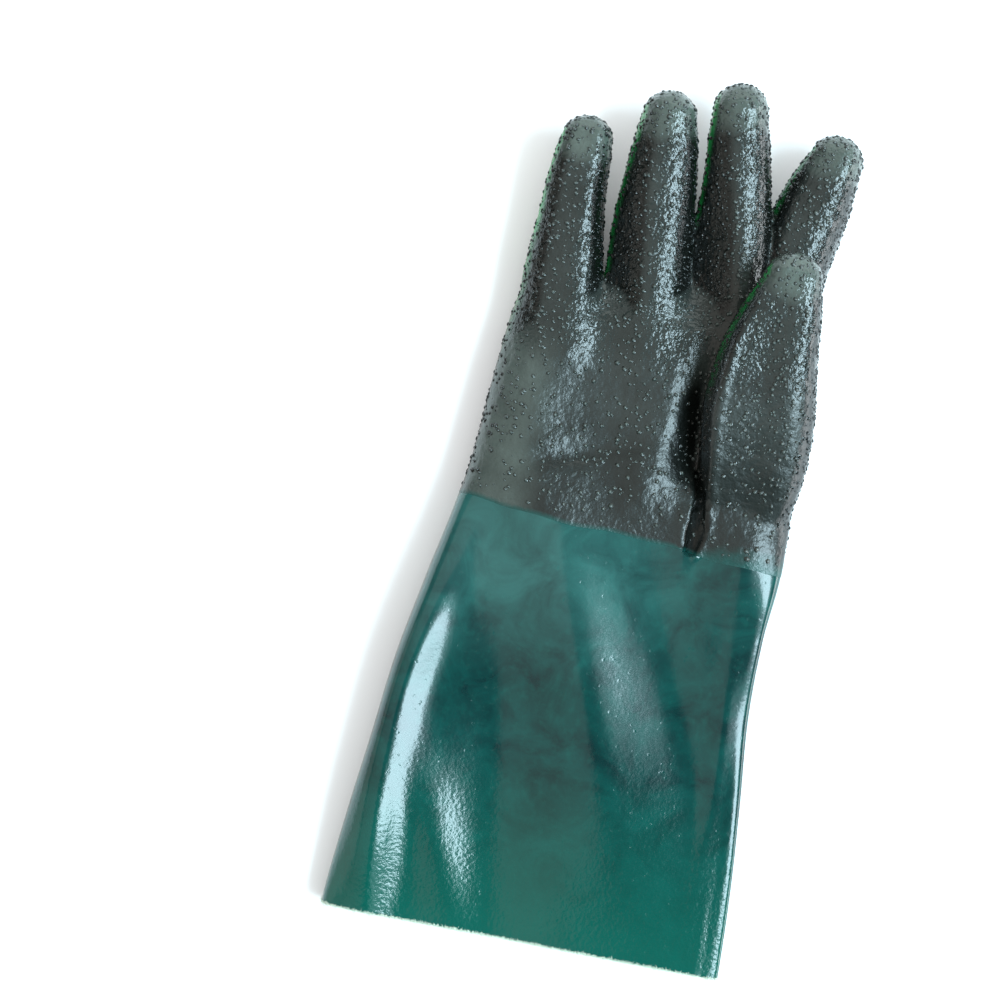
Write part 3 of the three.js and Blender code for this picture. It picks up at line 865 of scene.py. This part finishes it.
def coatShares():
    # Shares on each point of the skin, each a product of runs between two limits of place or normal
    x, y = skinPoints[:, 0], skinPoints[:, 1]
    ahead, upwards = skinNormal[:, 1], skinNormal[:, 2]
    # Painted green glow along the left flanks, stronger towards the tips, in patches
    size, seed, swing = coatState["rimGlowPatches"]
    least, usual = coatState["rimGlowShare"]
    rimGlow = between(-skinNormal[:, 0], *coatState["rimGlowFacing"]) * between(y, *coatState["rimGlowAlong"])
    rimGlow *= np.clip(usual + swing * valueNoise(skinPoints, size, seed), least, 1)
    tipward = between(y, *coatState["digitsAlong"])
    leftSide = between(x, *coatState["leftSide"]) * (1 - tipward)
    # Dust and painted sheen, by how far the normal faces up, on the palm's left side, and towards the tips
    # or the hem
    facing = upwards + coatState["dustSheenLeft"] * leftSide
    tilted = np.where(ahead > 0, coatState["dustSheenTips"] * tipward, coatState["dustSheenHem"] * (tipward - 1))
    dustSheen = between(facing + tilted * ahead, *coatState["dustSheenFacing"])
    # Painted shade on the slit's floor: there the dust and sheen falls to a share
    floor, left = coatState["slitPaintedShade"]
    dustSheen *= np.where(slitLift(x, y) < floor, left, 1)
    dustSheen *= coatState["dustSheenLow"] + (1 - coatState["dustSheenLow"]) * between(y, *coatState["dustSheenAlong"])
    # Wear and painted highlight, lighter near the tips and on the palm's left side where the skin faces up
    wearAndHighlight = coatState["wearHighlightLeft"] * leftSide
    for digit in digits.values():
        away = np.linalg.norm(skinPoints - digit["rows"][-1, :3], axis=1)
        wearAndHighlight = np.maximum(wearAndHighlight, between(away, *coatState["wearHighlightTips"]))
    wearAndHighlight *= between(upwards, *coatState["wearHighlightFacing"])
    above = y - dipLine(x)
    near, far = coatState["fade"]
    blur = near + (far - near) * between(x, *coatState["fadeAcross"])
    size, seed, swing = coatState["fadePatches"]
    fade = 1 - above / blur + swing * valueNoise(skinPoints, size, seed) * (above < blur)
    palm, tips = gritValues["lumpHeight"]
    return {"paintedRimGlow": rimGlow, "dustAndSheen": dustSheen, "wearAndHighlight": wearAndHighlight, "dipFade": np.clip(fade, 0, 1),
            "grit": palm + (tips - palm) * tipward}


lumps = thumbShape(skinPoints)
for size, seed, height in coatState["lumps"]:
    lumps += height * valueNoise(skinPoints, size, seed)
lumps *= between(skinPoints[:, 1] - dipLine(skinPoints[:, 0]), *coatState["lumpsStart"])
outerPoints = skinPoints + (lumps + coatState["lap"])[:, None] * skinNormal
outerPoints[:, 2] = np.maximum(outerPoints[:, 2], 0)
innerPoints = skinPoints - handValues["wall"] * skinNormal
innerPoints[skinRim, 1] = skinPoints[skinRim, 1]
count = len(skinPoints)
rimQuads = np.stack([skinEdges[:, 1], skinEdges[:, 0], skinEdges[:, 0] + count, skinEdges[:, 1] + count], 1)
handFaces = np.concatenate([skinFaces, skinFaces[:, ::-1] + count, rimQuads])
hand = fillMesh("gritted_hand", np.concatenate([outerPoints, innerPoints]), handFaces, darkCoat)
for name, values in coatShares().items():
    storeShares(hand, name, np.concatenate([values, 0 * values]))
hand.data.set_sharp_from_angle(angle=math.radians(handValues["sharpFrom"]))
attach(hand, "root")
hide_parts("grit_hand")
print("hand made", len(handFaces) * 2, "triangles")

grainValues = {
    "coarse": {
        "spacing": 3.1,  # of the lattice that keeps one grain in a cell
        "digitShare": 0.6,  # of the cells that hold a grain
        "palmShare": 0.42,
        "radius": (0.65, 1.15),
        "height": 0.68,  # of the radius
    },
    "fine": {
        "spacing": 1.8,
        "digitShare": 0.3,
        "palmShare": 0.09,
        "radius": (0.32, 0.6),
        "height": 0.6,
    },
    "tries": 3,  # for each cell
    "digitAlong": 236,  # from the hem, where the digits' share may start
    "digitReach": 1.5,  # off a digit's own surface
    "clear": 4,  # mm past the dip line without grains
    "thicken": (3, 33),  # mm past it over which they grow more
    "thinnest": 0.35,  # of the palm's share, where they start
    "lowest": 1.2,  # height above the surface that the glove lies on
    "squeeze": (0.8, 1.25),  # of a grain's second axis
    "sides": 5,
    "rings": ((1.25, -0.12, 0), (0.75, 0.62, 0.5)),  # radius, height, turn: rim under the skin, shoulder
    "paintedTopLight": (0.0, 0.55, 1.0),  # painted light on the rim, the shoulder and the top: painted shade at the rim, a painted highlight on the top
    "paintedTopLightUp": (0.75, 0.95),  # of the normal, where the painted highlight starts and is full
    "paintedTopLightAhead": 0.5,  # of the normal towards the tips, which adds to that
    "coat": "0d110f",
    # tones of the painted highlight on the grains' tops
    "topLightTones": ("343b39", "59635f"),
    "patch": 0.003,
    "roughness": 0.16,
    "ior": 1.55,
}


# The same dark PVC over grains of grit, with a painted highlight on their tops and painted shade at their
# rims
def grainCoat():
    material, tree = newMaterial("PVC coated grit")
    place = addNode(tree, "ShaderNodeTexCoord").outputs["Object"]
    paintedTopLight = addNode(tree, "ShaderNodeAttribute", attribute_name="paintedTopLight")
    patches = addNode(tree, "ShaderNodeTexNoise", {
        "Vector": place, "Scale": 1 / grainValues["patch"], "Detail": 2})
    # Painted highlight: the tops take the pale tones, the rims keep the dark coat as painted shade
    topLightTone = addNode(tree, "ShaderNodeMix", {
        "Factor": patches.outputs["Fac"], "A": hexColour(grainValues["topLightTones"][0]),
        "B": hexColour(grainValues["topLightTones"][1])}, data_type="RGBA")
    colour = addNode(tree, "ShaderNodeMix", {
        "Factor": paintedTopLight.outputs["Fac"], "A": hexColour(grainValues["coat"]),
        "B": topLightTone.outputs["Result"]}, data_type="RGBA")
    shader = addNode(tree, "ShaderNodeBsdfPrincipled", {
        "Base Color": colour.outputs["Result"], "Roughness": grainValues["roughness"],
        "IOR": grainValues["ior"]})
    addNode(tree, "ShaderNodeOutputMaterial", {"Surface": shader.outputs["BSDF"]})
    return material


def scatterGrains(values):
    # Grains on random points of the outer skin, one in each cell of a lattice of the grain spacing
    corner = outerPoints[skinFaces]
    normalAt = skinNormal[skinFaces]
    area = np.linalg.norm(np.cross(corner[:, 2] - corner[:, 0], corner[:, 3] - corner[:, 1]), axis=1) / 2
    count = int(area.sum() / values["spacing"] ** 2 * grainValues["tries"])
    chosen = random.choice(len(area), count, p=area / area.sum())
    s, t = random.random((2, count, 1))

    def blended(corners):
        v = corners[chosen]
        return (v[:, 0] * (1 - s) + v[:, 1] * s) * (1 - t) + (v[:, 3] * (1 - s) + v[:, 2] * s) * t

    at, normal = blended(corner), unit(blended(normalAt))
    cell = np.floor(at / values["spacing"]).astype(np.int64)
    _, first = np.unique(cell @ np.array([1, 4096, 16777216]), return_index=True)
    at, normal = at[first], normal[first]
    onDigit = np.zeros(len(at), bool)
    for digit in digits.values():
        onDigit |= digitField(at, digit) < grainValues["digitReach"]
    onDigit &= at[:, 1] > grainValues["digitAlong"]
    above = at[:, 1] - dipLine(at[:, 0])
    thinnest = grainValues["thinnest"]
    fade = thinnest + (1 - thinnest) * between(above, *grainValues["thicken"])
    share = np.where(onDigit, values["digitShare"], values["palmShare"] * fade)
    share[(above < grainValues["clear"]) | (at[:, 2] < grainValues["lowest"])] = 0
    keep = random.random(len(at)) < share
    return at[keep], normal[keep]


def grainMesh(name, values, material):
    # A dome for each grain: rings of radius * (share * round + height * normal), and a top point
    at, normal = scatterGrains(values)
    count, sides = len(at), grainValues["sides"]
    radius = random.uniform(*values["radius"], (count, 1))
    first = unit(np.cross(normal, random.normal(size=(count, 3))))
    second = np.cross(normal, first) * random.uniform(*grainValues["squeeze"], (count, 1))
    rings = []
    for share, height, turn in grainValues["rings"]:
        for k in range(sides):
            a = 2 * math.pi * (k + turn) / sides
            spot = first * math.cos(a) + second * math.sin(a)
            rings.append(at + radius * (share * spot + height * values["height"] * normal))
    rings.append(at + radius * values["height"] * normal)
    points = np.stack(rings, axis=1).reshape(-1, 3)
    k = np.arange(sides)
    turn = (k + 1) % sides
    triangles = ((k, turn, turn + sides), (k, turn + sides, k + sides),
                 (k + sides, turn + sides, 0 * k + 2 * sides))
    dome = np.concatenate([np.stack(corners, 1) for corners in triangles])
    faces = (dome[None] + len(rings) * np.arange(count)[:, None, None]).reshape(-1, 3)
    piece = fillMesh(name, points, faces, material)
    # Painted highlight on grains that face up or towards the tips, painted shade at every rim
    facing = normal[:, 2:] + grainValues["paintedTopLightAhead"] * np.maximum(normal[:, 1:2], 0)
    paintedTopLight = np.array(grainValues["paintedTopLight"]) * between(facing, *grainValues["paintedTopLightUp"])
    storeShares(piece, "paintedTopLight", np.repeat(paintedTopLight, (sides, sides, 1), axis=1))
    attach(piece, "root")
    print(name, count, "grains,", len(faces), "triangles")


grainFinish = grainCoat()
grainMesh("coarse_grit", grainValues["coarse"], grainFinish)
grainMesh("fine_grit", grainValues["fine"], grainFinish)

fringe = {
    "threads": 3600,
    "length": (0.6, 2.4),
    "radius": 0.17,
    "points": 5,
    "centre": (0.0, 0.0, 11.0),  # of the mouth, to which inwards points
    "flatten": 0.05,  # of the way there across, so that it points nearly up or down
    "depth": (-0.1, 2.2),  # how far inwards they start
    "before": 0.15,  # how far inside the mouth they start
    "lean": (0, -0.7, 0.1),  # out of the mouth
    "wander": (1, 0.5, 0.7),  # how unequal the lean is along each axis
    "curled": 0.6,  # share that starts on the outer skin and bends back over the cut edge
    "curledDepth": 0.05,
    "curledBefore": 0.1,
    "curledLean": (0, 0.75, 0),
    "curledInward": -0.3,
    "curledLength": 0.5,  # of the others' length, as curledBend is of their bend
    "curledBend": 0.3,
    "bend": 0.5,
}


def frayedHem():
    # Cut cotton ends round the hem: each bends away from its start as start + length (a t + b t^2)
    count = fringe["threads"]
    angle = np.interp(random.random(count), np.linspace(0, 1, 400, endpoint=False), evenAngles(400))
    skin = bodySurface(np.zeros((count, 1)), angle[:, None])[:, 0]
    inward = (np.array(fringe["centre"]) - skin) * (1.0, 0.0, 1.0)
    inward[:, 0] *= fringe["flatten"]
    inward = unit(inward)
    start = skin + inward * random.uniform(*fringe["depth"], (count, 1)) + (0, fringe["before"], 0)
    length = random.uniform(*fringe["length"], (count, 1))
    lean = random.normal(0, 0.5, (count, 3)) * fringe["wander"] + fringe["lean"]
    curled = random.random((count, 1)) < fringe["curled"]
    onSkin = skin + fringe["curledDepth"] * inward + (0, fringe["curledBefore"], 0)
    start = np.where(curled, onSkin, start)
    back = random.normal(0, 0.3, (count, 3)) + fringe["curledInward"] * inward + fringe["curledLean"]
    lean = np.where(curled, back, lean)
    length *= np.where(curled, fringe["curledLength"], 1)
    bend = random.normal(0, fringe["bend"], (count, 3)) * np.where(curled, fringe["curledBend"], 1)
    t = np.linspace(0, 1, fringe["points"])[None, :, None]
    line = start[:, None] + length[:, None] * (lean[:, None] * t + bend[:, None] * t * t)
    tangent = np.gradient(line, axis=1)
    first = unit(np.cross(tangent, (0.3, 0.1, 0.95)))
    second = unit(np.cross(tangent, first))
    radius = fringe["radius"] * (1.1 - t)
    corners = [2 * math.pi * k / 3 for k in range(3)]
    rings = [line + radius * (first * math.cos(a) + second * math.sin(a)) for a in corners]
    points = np.stack(rings, axis=2).reshape(-1, 3)
    points[:, 2] = np.maximum(points[:, 2], 0.02)
    # Open tubes of three sides, turned to face outwards
    quads = np.roll(tubeFaces(fringe["points"], 3)[:-3, ::-1], 1, axis=1)
    faces = (quads[None] + 3 * fringe["points"] * np.arange(count)[:, None, None]).reshape(-1, 4)
    piece = fillMesh("hem_threads", points, faces, cotton)
    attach(piece, "root")


frayedHem()
print("hem threads made")

# Floor, lights and camera
stageValues = {
    "floor": "f4f5f6",
    "floorReach": 4.0,  # metres
    "world": 0.5,
    "worldColour": (0.9, 0.95, 1.0, 1),
    "cameraHeight": 1.4,
    "cameraSensor": 36.0,  # mm
    "cameraFocal": 3009 / 1001,  # of the sensor
    "cameraPlace": (-47.4, 196.7),
    "cameraTurn": 11,  # degrees
}

# Degrees off the vertical towards +X and +Y, distance and size in metres, radiance, colour, and
# whether the glove mirrors it
lamps = {
    "overhead": (5, 0, 2.4, (2.2, 2.6), 1.1, (1.0, 0.99, 0.97), False),
    "ceiling": (-28, 0, 2.2, (2.4, 3.0), 0.55, (1.0, 0.9, 0.83), True),
    "wall": (36, 0, 2.3, (1.6, 3.0), 1.5, (0.65, 0.95, 1.0), True),
    "window": (34, 0, 2.2, (0.8, 1.6), 17, (0.66, 0.89, 1.0), True),
    "leftWall": (-74, -22, 2.2, (1.1, 2.2), 0.9, (0.98, 1.0, 0.93), True),
    "rightWall": (82, 0, 1.8, (0.5, 2.4), 8, (0.9, 0.97, 1.0), True),
    "farWall": (0, 66, 2.2, (3.2, 1.5), 1.6, (0.93, 1.0, 0.96), True),
}


def plainFloor():
    half = stageValues["floorReach"]
    mesh = bpy.data.meshes.new("floor")
    corners = [(-half, -half, 0), (half, -half, 0), (half, half, 0), (-half, half, 0)]
    mesh.from_pydata(corners, [], [(0, 1, 2, 3)])
    floor = addObject("floor", mesh)
    material, tree = newMaterial("white board")
    shader = addNode(tree, "ShaderNodeBsdfPrincipled", {
        "Base Color": hexColour(stageValues["floor"]), "Roughness": 0.8, "Specular IOR Level": 0.2})
    addNode(tree, "ShaderNodeOutputMaterial", {"Surface": shader.outputs["BSDF"]})
    mesh.materials.append(material)


def softbox(name, lean, beyond, distance, size, radiance, colour, mirrored):
    # A panel that faces the glove. Its power is radiance * area * pi, as a lambert panel gives off.
    light = bpy.data.lights.new(name, "AREA")
    light.shape = "RECTANGLE"
    light.size, light.size_y = size
    light.energy = radiance * size[0] * size[1] * math.pi
    light.color = colour
    lamp = addObject(name, light)
    lean, beyond = math.radians(lean), math.radians(beyond)
    lamp.location = (distance * math.sin(lean), distance * math.sin(beyond),
                     distance * math.cos(lean) * math.cos(beyond))
    lamp.rotation_euler = (-beyond, lean, 0)
    lamp.visible_glossy = mirrored


def dimWorld():
    world = bpy.data.worlds.new("dim room")
    bpy.context.scene.world = world
    world.use_nodes = True
    background = world.node_tree.nodes["Background"].inputs
    background["Color"].default_value = stageValues["worldColour"]
    background["Strength"].default_value = stageValues["world"]
    world.cycles_visibility.glossy = False


def photoCamera():
    camera = bpy.data.cameras.new("camera")
    camera.lens = stageValues["cameraFocal"] * stageValues["cameraSensor"]
    camera.sensor_width = stageValues["cameraSensor"]
    eye = addObject("camera", camera)
    x, y = stageValues["cameraPlace"]
    spot = placeInRow(np.array([x, y, 0.0]))
    eye.location = (spot[0], spot[1], stageValues["cameraHeight"])
    eye.rotation_euler = (0, 0, math.radians(stageValues["cameraTurn"]))
    bpy.context.scene.camera = eye


plainFloor()
dimWorld()
for name, lamp in lamps.items():
    softbox(name, *lamp)
photoCamera()
bpy.context.scene.view_settings.view_transform = "Standard"
print("stage made")
